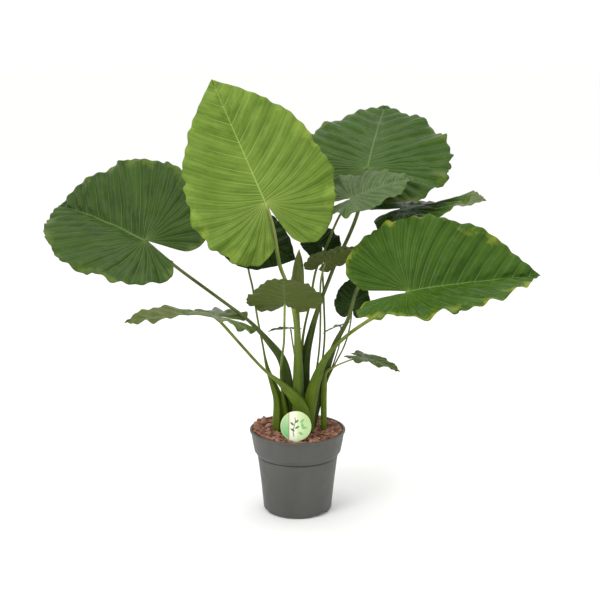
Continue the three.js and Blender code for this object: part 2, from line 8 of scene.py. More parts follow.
import bpy
import numpy as np
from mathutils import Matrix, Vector


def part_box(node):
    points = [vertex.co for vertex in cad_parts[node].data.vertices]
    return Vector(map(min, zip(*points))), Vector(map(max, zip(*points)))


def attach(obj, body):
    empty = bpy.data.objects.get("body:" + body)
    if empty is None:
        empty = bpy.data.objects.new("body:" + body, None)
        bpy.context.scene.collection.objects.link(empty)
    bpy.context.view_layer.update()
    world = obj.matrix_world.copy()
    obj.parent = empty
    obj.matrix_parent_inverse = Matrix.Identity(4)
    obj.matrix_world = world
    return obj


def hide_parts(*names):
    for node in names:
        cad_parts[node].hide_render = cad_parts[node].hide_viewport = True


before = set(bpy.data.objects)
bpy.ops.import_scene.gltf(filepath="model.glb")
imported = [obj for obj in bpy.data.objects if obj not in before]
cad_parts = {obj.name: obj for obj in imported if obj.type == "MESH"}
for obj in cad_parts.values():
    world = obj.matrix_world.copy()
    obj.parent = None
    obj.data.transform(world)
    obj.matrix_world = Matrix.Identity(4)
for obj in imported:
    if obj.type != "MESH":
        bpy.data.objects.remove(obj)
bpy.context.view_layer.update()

# %% [markdown]
# ## Small helpers
# Every piece is a grid of points computed as whole arrays, and one function turns it into a mesh. Doing this
# without primitives keeps each surface a plain formula that can be read and changed.

# %% Mesh helpers
MM = 0.001
WELD = 0.001  # millimetres that places are rounded to when points are welded
SEED = 24
rng = np.random.default_rng(SEED)


def grid_triangles(rows, columns):
    """Two triangles for every cell of a rows x columns grid, wound from the rows to the columns."""
    first = np.arange(rows - 1)[:, None] * columns + np.arange(columns - 1)[None, :]
    a, b, c, d = first, first + columns, first + columns + 1, first + 1
    pair = np.stack([np.stack([a, b, c], -1), np.stack([a, c, d], -1)], 2)
    return pair.reshape(-1, 3)


def weld(points, triangles, layers=None):
    """Points with the same rounded place become one, and triangles that collapse are dropped."""
    keys = np.round(points / WELD).astype(np.int64)
    _, first, inverse = np.unique(keys, axis=0, return_index=True, return_inverse=True)
    corners = inverse.reshape(-1)[triangles]
    a, b, c = corners.T
    corners = corners[(a != b) & (b != c) & (c != a)]
    return points[first], corners, {name: values[first] for name, values in (layers or {}).items()}


def add_piece(name, shape, material, slot, *nodes, smooth=True):
    """A mesh object from points in millimetres, triangles and perhaps layers, the named numbers that each
    point carries. It rides on the one rigid body and stands for the nodes."""
    points, triangles, layers = weld(*shape)
    mesh = bpy.data.meshes.new(name)
    mesh.vertices.add(len(points))
    mesh.vertices.foreach_set("co", (points * MM).astype(np.float32).ravel())
    mesh.loops.add(triangles.size)
    mesh.loops.foreach_set("vertex_index", triangles.astype(np.int32).ravel())
    mesh.polygons.add(len(triangles))
    mesh.polygons.foreach_set("loop_start", np.arange(0, triangles.size, 3, dtype=np.int32))
    mesh.polygons.foreach_set("use_smooth", np.full(len(triangles), smooth))
    for layer, values in layers.items():
        kind, field = ("FLOAT", "value") if values.ndim == 1 else ("FLOAT_COLOR", "color")
        attribute = mesh.attributes.new(layer, kind, "POINT")
        attribute.data.foreach_set(field, values.astype(np.float32).ravel())
    mesh.update(calc_edges=True)
    mesh.materials.append(material)
    piece = bpy.data.objects.new(name, mesh)
    bpy.context.scene.collection.objects.link(piece)
    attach(piece, "root")
    if nodes:
        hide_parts(*nodes)
    print(name, len(triangles), "triangles")


def turned(profile, sides):
    """A profile of (radius, height) carried round Z: x = r cos a, y = r sin a, z = height."""
    radius, height = np.array(profile, float).T
    angle = np.linspace(0, 2 * np.pi, sides + 1)
    angle[-1] = 0
    x, y = radius[:, None] * np.cos(angle), radius[:, None] * np.sin(angle)
    points = np.stack([x, y, np.repeat(height[:, None], sides + 1, 1)], -1)
    return points, grid_triangles(len(radius), sides + 1)[:, ::-1]


# %% [markdown]
# ## Colours and nodes
# Colours are written as the sRGB hex values a person would pick. A material is a small node tree, held by a
# class with a method for each kind of node, so that a material reads as a few formulas.

# %% Material helpers
def paint(hex_colour):
    """An sRGB hex colour as linear RGBA: below 0.04045 divided by 12.92, above it the 2.4 power curve."""
    srgb = np.array([int(hex_colour[i : i + 2], 16) for i in (1, 3, 5)]) / 255
    linear = np.where(srgb <= 0.04045, srgb / 12.92, ((srgb + 0.055) / 1.055) ** 2.4)
    return (*linear.tolist(), 1.0)


class Surface:
    """A material with a Principled shader, and a method for each kind of node that returns its output."""

    def __init__(self, name, **inputs):
        self.material = bpy.data.materials.new(name)
        self.material.use_nodes = True
        self.tree = self.material.node_tree
        self.finish(**inputs)

    def feed(self, node, inputs):
        """Sets a node's inputs, by name or number: to a hex colour, a value or another's output."""
        for key, value in inputs.items():
            if isinstance(value, bpy.types.NodeSocket):
                self.tree.links.new(value, node.inputs[key])
            else:
                node.inputs[key].default_value = paint(value) if isinstance(value, str) else value

    def add(self, kind, inputs=None, output=0, **settings):
        """Adds a node with its settings and inputs, and returns one output."""
        node = self.tree.nodes.new("ShaderNode" + kind)
        for key, value in settings.items():
            setattr(node, key, value)
        self.feed(node, inputs or {})
        return node.outputs[output]

    def layer(self, name, output="Fac"):
        """The number or colour that every point of the mesh carries under this name."""
        return self.add("Attribute", output=output, attribute_name=name)

    def place(self):
        """Where the point is, in metres."""
        return self.add("TexCoord", output="Object")

    def stretch(self, place, scale):
        """The place times a scale for each axis."""
        return self.add("Mapping", {"Vector": place, "Scale": scale})

    def noise(self, place, scale, detail, **more):
        """Noise around 0.5, with so many swells to the unit of place."""
        return self.add("TexNoise", {"Vector": place, "Scale": scale, "Detail": detail, **more})

    def spread(self, value, low, high, at_low=0, at_high=1):
        """at_low up to the low value, at_high from the high one, and in proportion between them."""
        return self.add("MapRange", {0: value, 1: low, 2: high, 3: at_low, 4: at_high})

    def maths(self, operation, *values):
        """One step of arithmetic on outputs and numbers."""
        return self.add("Math", dict(enumerate(values)), operation=operation)

    def blend(self, share, below, above):
        """The colour below where the share is 0 and the colour above where it is 1."""
        return self.add("Mix", {0: share, 6: below, 7: above}, 2, data_type="RGBA")

    def bump(self, height, strength, depth, **more):
        """Relief so many metres deep that the light sees but the mesh doesn't have."""
        return self.add("Bump", {"Height": height, "Strength": strength, "Distance": depth, **more})

    def finish(self, **inputs):
        """Feeds the shader and returns the material."""
        shader = self.tree.nodes["Principled BSDF"]
        self.feed(shader, {key.replace("_", " "): value for key, value in inputs.items()})
        return self.material


# %% [markdown]
# ## Camera, floor and light
# The plant is seen from a little above with a long lens, so that its far leaves are hardly smaller than its
# near ones. The set is a pale floor under large soft lamps, which show the ribs of the leaves as gentle bands
# and keep the shadow under the pot soft.

# %% Camera
CAMERA_PLACE = (6, -2960, 1196)
CAMERA_DIP = 12.5  # degrees below level
FOCAL_LENGTH = 74.1
SENSOR_WIDTH = 36
FARTHEST = 100  # metres

camera_data = bpy.data.cameras.new("camera")
camera_data.lens = FOCAL_LENGTH
camera_data.sensor_width = SENSOR_WIDTH
camera_data.clip_end = FARTHEST
camera = bpy.data.objects.new("camera", camera_data)
camera.location = np.array(CAMERA_PLACE) * MM
camera.rotation_euler = (np.radians(90 - CAMERA_DIP), 0, 0)
bpy.context.scene.collection.objects.link(camera)
bpy.context.scene.camera = camera

# %% Floor
floor_paint = Surface("matt_white_studio_floor", Roughness=0.9).finish(Base_Color="#f4f4f2")
bpy.ops.mesh.primitive_plane_add(size=60)
floor = bpy.context.object
floor.name = "floor"
floor.data.materials.append(floor_paint)

# %% Lamps
# Each lamp: where it stands in metres, the side of its square panel, and its power in watts.
LAMPS = {
    "key_panel": ((-2.2, -2.4, 3.0), 1.8, 70),
    "fill_panel": ((2.8, -2.2, 1.6), 2.4, 12),
    "top_panel": ((0.2, 0.4, 3.6), 2.2, 40),
}
AIM = (0, 0, 0.55)

for lamp_name, (place, side, power) in LAMPS.items():
    lamp_data = bpy.data.lights.new(lamp_name, "AREA")
    lamp_data.size = side
    lamp_data.energy = power
    lamp = bpy.data.objects.new(lamp_name, lamp_data)
    lamp.location = place
    lamp.rotation_euler = (Vector(AIM) - Vector(place)).to_track_quat("-Z", "Y").to_euler()
    bpy.context.scene.collection.objects.link(lamp)


# %% Sky and tones
SKY_STRENGTH = 1.1

world = bpy.data.worlds.new("white_room")
world.use_nodes = True
world.node_tree.nodes["Background"].inputs["Color"].default_value = (1, 1, 1, 1)
world.node_tree.nodes["Background"].inputs["Strength"].default_value = SKY_STRENGTH
bpy.context.scene.world = world
bpy.context.scene.view_settings.view_transform = "Standard"

# %% [markdown]
# ## Shape of a leaf blade
# An alocasia blade is a heart-shaped shield 0.6 mm thick. A stout midrib runs to the drip tip, and on each
# side a dozen or more veins bow towards a scalloped and ruffled margin. It could be sculpted, but a formula
# gives every leaf from a few botanical numbers. Each half is a grid: one parameter goes round from the tip to
# the notch behind the stem, the other out along a vein to the margin.

# %% Outline and veins of the flat blade
NOTCH_ANGLE = 168  # degrees from the tip to each edge of the notch
LAST_ON_MIDRIB = 75  # degrees to the last vein that starts on the midrib
VEIN_BOW = 0.055  # how far a vein bows, as a share of its length
SCALLOP = 0.007  # how far the margin swings out between veins, as a share of its radius
UNEVEN = 0.011  # how far it swings at random
NICKS = 6  # torn out of each half
NICK_RANGE = (8, 1.3, 0.008), (160, 3.2, 0.045)  # least and most: place and width in degrees, depth
NICKED_LENGTH = 350  # of the leaf whose nicks are that deep, as a share of its radius


def margin_radius(length, degrees):
    """Junction to margin: length (0.485 (1 + e^(-a/46)) + 0.03 e^(-a/4) - r), where r is nothing up to 140
    degrees and 0.16 ((a - 140) / 28)^2 past them."""
    rounding = 0.16 * (np.maximum(0, degrees - 140) / 28) ** 2
    return length * (0.485 * (1 + np.exp(-degrees / 46)) + 0.03 * np.exp(-degrees / 4) - rounding)


def vein_steps(veins):
    """Row positions counted in veins: nine to each field between two veins, crowded towards the veins."""
    field = np.array([0, 0.06, 0.14, 0.27, 0.42, 0.58, 0.73, 0.86, 0.94])
    return np.append((np.arange(veins)[:, None] + field).ravel(), veins)


def random_swing(pace_low, pace_high, count=7):
    """Paces and phases of a few sines, whose sum is an irregular swing of about one either way."""
    return rng.uniform(pace_low, pace_high, count), rng.uniform(0, 2 * np.pi, count)


def swing_at(turn, swing):
    """The sum of sin(pace times turn + phase), over the square root of how many there are."""
    pace, phase = swing
    return np.sin(turn[..., None] * pace + phase).sum(-1) / np.sqrt(len(pace))


def flat_half(leaf, side, columns, swing):
    """One half, x along the midrib and y across. A vein starts at length (1 - a/75)^2.2 on the midrib, or at
    the junction past 75 degrees, ends on the margin at angle a, and bows away from the tip by a half sine.
    The margin is scalloped between the veins, swings a little at random, and has nicks like bell curves."""
    count = vein_steps(leaf["veins"])[:, None]
    degrees = NOTCH_ANGLE * (count / leaf["veins"]) ** 1.33
    share = np.linspace(0, 1, columns)[None, :] ** 1.4
    start = leaf["length"] * np.maximum(0, 1 - degrees / LAST_ON_MIDRIB) ** 2.2
    uneven = swing_at(np.radians(degrees), swing) + 1.3 * swing_at(np.radians(degrees) / 4, swing)
    nick_at, nick_width, nick_depth = rng.uniform(*NICK_RANGE, (NICKS, 3)).T
    nick_depth *= leaf["length"] / NICKED_LENGTH
    nicks = (nick_depth * np.exp(-(((degrees[..., None] - nick_at) / nick_width) ** 2))).sum(-1)
    scallop = SCALLOP * np.cos(2 * np.pi * count) + UNEVEN * uneven + nicks
    arch = np.sin(np.pi * degrees / NOTCH_ANGLE)
    radius = margin_radius(leaf["length"], degrees) * (1 - scallop * arch)
    run_x = radius * np.cos(np.radians(degrees)) - start
    run_y = radius * np.sin(np.radians(degrees))
    bow = VEIN_BOW * np.sin(np.pi * share) * arch
    x = start + run_x * share - run_y * bow
    y = side * (run_y * share + run_x * bow)
    return x, y * (share > 0), count + 0 * share, share + 0 * count


# %% Bending the blade into space
FOLD_ROUNDING = 6  # rounds the fold at the midrib


def smoothstep(value, low, high):
    """3 t^2 - 2 t^3 of the value's share of the way from low to high."""
    t = np.clip((value - low) / (high - low), 0, 1)
    return t * t * (3 - 2 * t)


def bend(leaf, x, y):
    """Folds each half up from the midrib by the fold angle and curls it back down on a circle, lifts the
    margin by share^3 sin(waves a) for the ruffle, turns each cross-section about the midrib by the twist
    times its share of the length, and bends the whole along the midrib on another circle."""
    length = leaf["length"]
    half = 0.55 * length
    across = np.radians(leaf["curl"]) / half
    fold = np.radians(leaf["fold"])
    eased = np.hypot(y, FOLD_ROUNDING) - FOLD_ROUNDING
    lateral = (np.sin(fold) - np.sin(fold - across * np.abs(y))) / across
    rise = (np.cos(fold - across * eased) - np.cos(fold)) / across
    back = np.radians(leaf["lobe_droop"]) / half
    along = np.where(x > 0, np.radians(leaf["droop"]) / length, back) + 1e-6
    degrees = np.degrees(np.abs(np.arctan2(y, x)))
    share = np.hypot(x, y) / margin_radius(length, np.minimum(degrees, NOTCH_ANGLE))
    around = leaf["waves"] * np.radians(degrees) + leaf["phase"] * np.sign(y)
    ruffle = leaf["wave"] * share**3 * np.sin(around)
    height = rise + ruffle * (1 - np.exp(-degrees / 12))
    twist = np.radians(leaf["twist"]) * x / length
    out = np.sign(y) * lateral * np.cos(twist) - height * np.sin(twist)
    lift = np.sign(y) * lateral * np.sin(twist) + height * np.cos(twist)
    turn = along * x
    along_x = np.sin(turn) / along + lift * np.sin(turn)
    return np.stack([along_x, out, (np.cos(turn) - 1) / along + lift * np.cos(turn)], -1)


def bend_normal(leaf, x, y):
    """Unit normal of the bent blade: the cross product of its changes over half a millimetre each way."""
    along = bend(leaf, x + 0.5, y) - bend(leaf, x - 0.5, y)
    across = bend(leaf, x, y + 0.5) - bend(leaf, x, y - 0.5)
    normal = np.cross(along, across)
    return normal / np.linalg.norm(normal, axis=-1, keepdims=True)


def blade_axes(leaf):
    """Rows X, Y and Z of the blade's own frame: X leaves the junction half the droop above the line to the
    tip, and Z is the upper face."""
    chord = np.array(leaf["tipward"], float)
    chord /= np.linalg.norm(chord)
    face = np.array(leaf["face"], float)
    face -= face.dot(chord) * chord
    face /= np.linalg.norm(face)
    half = np.radians(leaf["droop"]) / 2
    along = np.cos(half) * chord + np.sin(half) * face
    upper = np.cos(half) * face - np.sin(half) * chord
    return np.array([along, np.cross(upper, along), upper])


# %% Random gentle ground
def random_ground(waves, size):
    """Random sines over a plane: direction, pace and phase of each, with wavelengths near the size."""
    direction = rng.uniform(0, 2 * np.pi, waves)
    pace = 2 * np.pi / (size * rng.uniform(0.6, 2.4, waves))
    return direction, pace, rng.uniform(0, 6.3, waves)


def ground_at(x, y, ground):
    """The sum of sin(pace (x cos d + y sin d) + phase), over the square root of how many there are."""
    direction, pace, phase = ground
    along = x[..., None] * np.cos(direction) + y[..., None] * np.sin(direction)
    return np.sin(along * pace + phase).sum(-1) / np.sqrt(len(pace))


# %% Blade with its ribs
BLADE_HALF = 0.3  # half the thickness of the blade
PLEAT = 0.19  # height of the swelling between two veins, as a share of their distance
VEIN_RIDGE = 1.0  # how far a side vein stands out below, near the midrib
MIDRIB_RIDGE = 4.5  # how far the midrib stands out below, at the junction
RELIEF_LENGTH = 320  # of the leaf that has these heights; the others' go with their length
FLUTTER = 1.4  # random waves of the margin, as a share of the ruffle
PUCKER = 0.0045  # random unevenness all over, as a share of the length


def blade_relief(leaf, x, y, count, share):
    """Offsets of the upper and lower skin. Both swell by (1 - cos(2 pi count)) / 2 between veins. Above, each
    vein lies in a fine groove; below, it is a ridge, a bell curve across, that fades as 1 - 0.8 share. The
    midrib thins out as (1 - x / length)^0.8."""
    length = leaf["length"]
    step = np.stack([np.gradient(x, axis=0), np.gradient(y, axis=0)], -1)
    step /= np.gradient(count, axis=0)[..., None]
    run = np.stack([np.gradient(x, axis=1), np.gradient(y, axis=1)], -1)
    run /= np.linalg.norm(run, axis=-1, keepdims=True) + 1e-9
    spacing = np.abs(step[..., 0] * run[..., 1] - step[..., 1] * run[..., 0])
    from_vein = np.abs(count - np.round(count)) * spacing
    scale = length / RELIEF_LENGTH
    swell = smoothstep(share, 0, 0.3)
    pleat = PLEAT * spacing * (1 - np.cos(2 * np.pi * count)) / 2 * (1 - 0.4 * share**4) * swell
    rib = (1 - 0.8 * share) * (1 - np.exp(-spacing / 3)) * smoothstep(share, 0, 0.03)
    rib = rib * np.exp(-((from_vein / (1.3 * scale + 0.2)) ** 2))
    thickness = np.clip(1 - x / length, 0.08, 1) ** 0.8
    width = (3.4 * thickness + 0.5) * scale
    midrib = np.exp(-((np.abs(y) / width) ** 2)) * smoothstep(x / length, -0.03, 0)
    above = pleat - 0.45 * scale * rib + 0.8 * scale * thickness * midrib
    below = pleat - VEIN_RIDGE * scale * rib * (1 - midrib) - MIDRIB_RIDGE * scale * thickness * midrib
    from_midrib = np.abs(y) / (width * 0.62) + 4 * (x < -0.01 * length)
    return above, below, spacing, from_midrib


def lamina(leaf, columns):
    """The closed blade: two halves, each an upper skin, a lower skin and a rim round them. It puckers all
    over and flutters towards the margin, at random. Every point carries its vein count, the veins' distance,
    its share of the way out, its distance from the midrib, and whether it lies below."""
    points, triangles, maps, unders = [], [], [], []
    used = 0
    puckers = random_ground(24, 0.16 * leaf["length"])
    for side in (1, -1):
        swing = random_swing(leaf["waves"], 3.5 * leaf["waves"])
        x, y, count, share = flat_half(leaf, side, columns, swing)
        rows = len(x)
        above, below, spacing, from_midrib = blade_relief(leaf, x, y, count, share)
        around = np.arctan2(np.abs(y), x)
        flutter = swing_at(around, random_swing(3, 2 * leaf["waves"]))
        flutter = flutter * (1 - np.exp(-np.degrees(around) / 12))
        loose = FLUTTER * leaf["wave"] * flutter * share**3
        loose = loose + PUCKER * leaf["length"] * ground_at(x, y, puckers)
        normal = bend_normal(leaf, x, y)
        middle = bend(leaf, x, y) + normal * loose[..., None]
        edge = 1 - 0.6 * smoothstep(share, 0.97, 1)
        upper = middle + normal * (BLADE_HALF * edge + above)[..., None]
        lower = middle + normal * (-BLADE_HALF * edge + below)[..., None]
        skin = np.stack([upper, lower]).reshape(-1, 3)
        points.append(skin)
        vein_map = np.stack([count, spacing, share, from_midrib], -1).reshape(-1, 4)
        maps.append(np.tile(vein_map, (2, 1)))
        unders.append(np.repeat([0.0, 1.0], rows * columns))
        ids = np.arange(rows * columns).reshape(rows, columns)
        margin = np.concatenate([ids[:, -1], ids[-1, -2::-1]])
        low = margin + rows * columns
        rim = [margin[:-1], low[:-1], low[1:]], [margin[:-1], low[1:], margin[1:]]
        rim = np.concatenate([np.stack(corners, -1) for corners in rim])
        cells = grid_triangles(rows, columns)
        half = np.concatenate([cells[:, ::-1], cells + rows * columns, rim])
        triangles.append((half if side > 0 else half[:, ::-1]) + used)
        used += len(skin)
    world = np.concatenate(points) @ blade_axes(leaf) + np.array(leaf["junction"]) + (0, 0, soil_top)
    layers = {"leaf_map": np.concatenate(maps), "under": np.concatenate(unders)}
    return world, np.concatenate(triangles), layers


CROWN_OUT = 5  # how far the corm's crown stands out of the mix
soil_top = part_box("main_corm")[1].z / MM - CROWN_OUT
print("top of the mix at", round(soil_top, 1), "mm")

# %% [markdown]
# ## Shape of a leaf stem
# The stem, or petiole, is a round stalk above. Below, it opens into a broad sheath that wraps the younger
# stems, with two thin wings either side of a channel. A tube on a curve would miss the channel, so a profile
# is carried along the path, and it changes on the way up.

# %% Path of a stem
def centripetal_curve(points, per_span):
    """A centripetal Catmull-Rom curve: tangents weigh each gap by the square root of its length."""
    points = np.array(points, float)
    padded = np.vstack([2 * points[0] - points[1], points, 2 * points[-1] - points[-2]])
    p0, p1, p2, p3 = padded[:-3], padded[1:-2], padded[2:-1], padded[3:]
    gap = np.linalg.norm(np.diff(padded, axis=0), axis=1)[:, None] ** 0.5
    d0, d1, d2 = gap[:-2], gap[1:-1], gap[2:]
    leave = ((p1 - p0) / d0 - (p2 - p0) / (d0 + d1) + (p2 - p1) / d1) * d1
    arrive = ((p2 - p1) / d1 - (p3 - p1) / (d1 + d2) + (p3 - p2) / d2) * d1
    t = (np.arange(per_span) / per_span)[None, :, None]
    p1, p2, leave, arrive = (part[:, None, :] for part in (p1, p2, leave, arrive))
    bent = (
        (2 * t**3 - 3 * t**2 + 1) * p1
        + (t**3 - 2 * t**2 + t) * leave
        + (-2 * t**3 + 3 * t**2) * p2
        + (t**3 - t**2) * arrive
    )
    return np.vstack([bent.reshape(-1, 3), points[-1]])


def even_path(points, spacing, sides):
    """The curve at even distances: a point every spacing millimetres, its unit tangent, the way walked, its
    share of the whole, and the angles of so many sides round it."""
    dense = centripetal_curve(points, 40)
    walked = np.append(0, np.cumsum(np.linalg.norm(np.diff(dense, axis=0), axis=1)))
    at = np.linspace(0, walked[-1], max(12, round(walked[-1] / spacing)))
    path = np.stack([np.interp(at, walked, dense[:, axis]) for axis in range(3)], -1)
    tangent = np.gradient(path, axis=0)
    tangent /= np.linalg.norm(tangent, axis=1, keepdims=True)
    return path, tangent, at, (at / at[-1])[:, None], np.linspace(0, 2 * np.pi, sides + 1)[None, :]


# %% Profile carried along the path
STEM_SIDES = 36


def stem_surface(path, tangent, at, outline, inward):
    """path + outline (cos a inner + sin a side), where inner is the inward direction square to the path and
    side completes the frame. The outline is a grid of rings by angles, and the ends close on the path. Its
    layers are a grain that runs lengthwise, and how far up the stem each ring is."""
    inward = np.array(inward, float)
    inner = inward - (tangent @ inward)[:, None] * tangent
    inner /= np.linalg.norm(inner, axis=1, keepdims=True)
    side = np.cross(tangent, inner)
    angle = np.linspace(0, 2 * np.pi, outline.shape[1])[None, :]
    ring = np.cos(angle)[..., None] * inner[:, None, :] + np.sin(angle)[..., None] * side[:, None, :]
    rings = path[:, None, :] + outline[..., None] * ring
    rings[:, -1] = rings[:, 0]
    bottom, top = (np.repeat(path[end][None, None, :], outline.shape[1], 1) for end in (0, -1))
    points = np.concatenate([bottom, rings, top]) + (0, 0, soil_top)
    walked = np.concatenate([[at[0]], at, [at[-1]]])[:, None]
    size = np.concatenate([outline[:1], outline, outline[-1:]])
    grain = np.stack([size * np.cos(angle), size * np.sin(angle), walked + 0 * size, 1 + 0 * size], -1)
    climb = (walked / at[-1] + 0 * size).ravel()
    layers = {"grain": grain.reshape(-1, 4) * (MM, MM, MM, 1), "climb": climb}
    return points.reshape(-1, 3), grid_triangles(*points.shape[:2])[:, ::-1], layers


def petiole(leaf):
    """Radius: stalk above and sheath below, blended by a smoothstep round the opening. At an angle a from the
    inner side, the sheath adds a channel -0.32 e^(-(a/0.4)^2) and two wings +0.26 e^(-((a - 0.72)/0.17)^2),
    as shares of the radius; the stalk keeps a quarter of them, and its top is rounded by a square root."""
    base, junction = np.array(leaf["route"][0], float), np.array(leaf["junction"], float)
    path, tangent, at, share, angle = even_path([*leaf["route"], junction], 4, STEM_SIDES)
    away = np.minimum(angle, 2 * np.pi - angle)
    sheath = 1 - smoothstep(share, leaf["opening"] - 0.28, leaf["opening"] + 0.1)
    radius = leaf["stalk"] + (leaf["sheath"] - leaf["stalk"]) * sheath
    wing = 0.26 * np.exp(-(((away - 0.72) / 0.17) ** 2)) - 0.32 * np.exp(-((away / 0.4) ** 2))
    left = at[-1] - at[:, None]
    cap = np.sqrt(np.clip(left / leaf["stalk"], 0.02, 1))
    outline = radius * (1 + (0.25 + 0.75 * sheath) * wing) * cap
    inward = np.append(base[:2] - junction[:2], 0)
    inward = inward / (np.linalg.norm(inward) + 1e-9) + (0, 0, 0.25)
    return stem_surface(path, tangent, at, outline, inward)


# %% [markdown]
# ## Leaf skin
# A leaf is a waxy skin over green tissue, with a soft sheen. The veins are paler than the field, the margin
# yellows first as a leaf ages, and the lower side is duller. The pattern reads the vein counts that each
# point carries, so it follows the ribs of every leaf whatever its bend.

# %% Leaf skin material
def waxy_leaf(name, field, deep, rib, margin, below):
    """Waxy skin: IOR 1.45 and roughness 0.28 to 0.42, and 0.14 more below. The specular level is low, or the
    white room would wash the colours out."""
    skin = Surface(name, IOR=1.45, Specular_IOR_Level=0.11)
    vein_map = skin.layer("leaf_map", "Vector")
    count, spacing, share = (skin.add("SeparateXYZ", {0: vein_map}, axis) for axis in range(3))
    from_midrib = skin.layer("leaf_map", "Alpha")
    under = skin.layer("under")
    place = skin.place()

    def from_nearest(veins_per_field):
        """Millimetres to the nearest of so many evenly spaced veins."""
        fields = skin.maths("PINGPONG", skin.maths("MULTIPLY", count, veins_per_field), 0.5)
        return skin.maths("MULTIPLY", skin.maths("MULTIPLY", fields, 1 / veins_per_field), spacing)

    def patches(per_metre, low, high):
        """Noise of so many patches to the metre, spread over 0 to 1."""
        return skin.spread(skin.noise(place, per_metre, 5, Roughness=0.6), low, high)

    vein_width = skin.spread(share, 0, 1, 1.1, 0.4)
    side_vein = skin.spread(skin.maths("DIVIDE", from_nearest(1), vein_width), 0.35, 1, 1, 0)
    side_vein = skin.maths("MULTIPLY", side_vein, skin.spread(share, 0.1, 0.8, 0.8, 0.25))
    ribs = skin.maths("MAXIMUM", side_vein, skin.spread(from_midrib, 0.5, 1, 0.9, 0))
    fine_veins = skin.spread(from_nearest(3), 0.5, 1.6, 0.16, 0)
    # Painted shade: beside each vein the green darkens towards the deep colour, for the shade in the groove the
    # vein lies in.
    crease_shade = skin.spread(from_nearest(1), 0.8, 6, 0.35, 0)

    along_veins = skin.stretch(vein_map, (2.6, 0, 2.2))
    streaks = skin.spread(skin.noise(along_veins, 1, 4, Distortion=0.6), 0.36, 0.64)
    mottle = skin.maths("MULTIPLY", skin.maths("ADD", patches(11, 0.38, 0.62), streaks), 0.5)
    patchy = skin.maths("MULTIPLY_ADD", patches(20, 0.4, 0.62), 0.3, -0.22)
    edge = skin.spread(skin.maths("ADD", share, patchy), 0.85, 1.05, 0, 0.75)
    green = skin.blend(mottle, deep, field)
    green = skin.blend(crease_shade, green, deep)
    green = skin.blend(fine_veins, green, rib)
    green = skin.blend(edge, green, margin)
    colour = skin.blend(under, skin.blend(ribs, green, rib), skin.blend(ribs, below, rib))

    sheen = skin.spread(mottle, 0, 1, 0.28, 0.42)
    puckers = skin.bump(skin.maths("ADD", patches(55, 0.3, 0.7), streaks), 0.5, 0.0016)
    pores = skin.bump(skin.noise(place, 420, 3), 0.25, 0.0004, Normal=puckers)
    rough = skin.maths("MULTIPLY_ADD", under, 0.14, sheen)
    return skin.finish(Base_Color=colour, Roughness=rough, Normal=pores)


# %% Stem skin material
def smooth_stem(name, low, high, streak):
    """Smooth fleshy stem: water-rich, so a low IOR of 1.4, streaked along its fibres and clouded in patches
    of about 30 mm where an old sheath has dried on it."""
    skin = Surface(name, IOR=1.4, Roughness=0.38, Specular_IOR_Level=0.12)
    fibres = skin.stretch(skin.layer("grain", "Vector"), (300, 300, 7))
    streaks = skin.spread(skin.noise(fibres, 1, 4), 0.4, 0.68, 0, 0.7)
    clouds = skin.spread(skin.noise(skin.place(), 32, 3), 0.42, 0.66, 0, 0.55)
    # Low to high up the stem: the dark low end is partly the stem's own colour and partly painted shade of the
    # crowded crown.
    colour = skin.blend(skin.spread(skin.layer("climb"), 0.3, 0.9), low, high)
    colour = skin.blend(clouds, colour, streak)
    colour = skin.blend(streaks, colour, streak)
    return skin.finish(Base_Color=colour, Normal=skin.bump(streaks, 0.35, 0.0006))


# %% [markdown]
# ## The sixteen leaves
# Each open leaf is a row of botanical numbers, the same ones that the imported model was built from. Angles are
# in degrees and heights are above the mix. "tipward" points from the junction to the tip, and "face" out of
# the upper side. The sixteenth leaf is the rolled one further on.

# %% Leaf table
COLUMNS = "skin length junction tipward face fold curl droop phase sheath stalk route".split()
BIG = {"veins": 19, "waves": 11, "lobe_droop": 14, "twist": 0, "wave": 5, "opening": 0.45}
SMALL = dict(BIG, veins=12, waves=7, wave=2, opening=0.35)


def leaf_row(kind, *numbers, **different):
    """A leaf: what its kind has, its own numbers in the order of the columns, and what differs."""
    return {**kind, **dict(zip(COLUMNS, numbers)), **different}


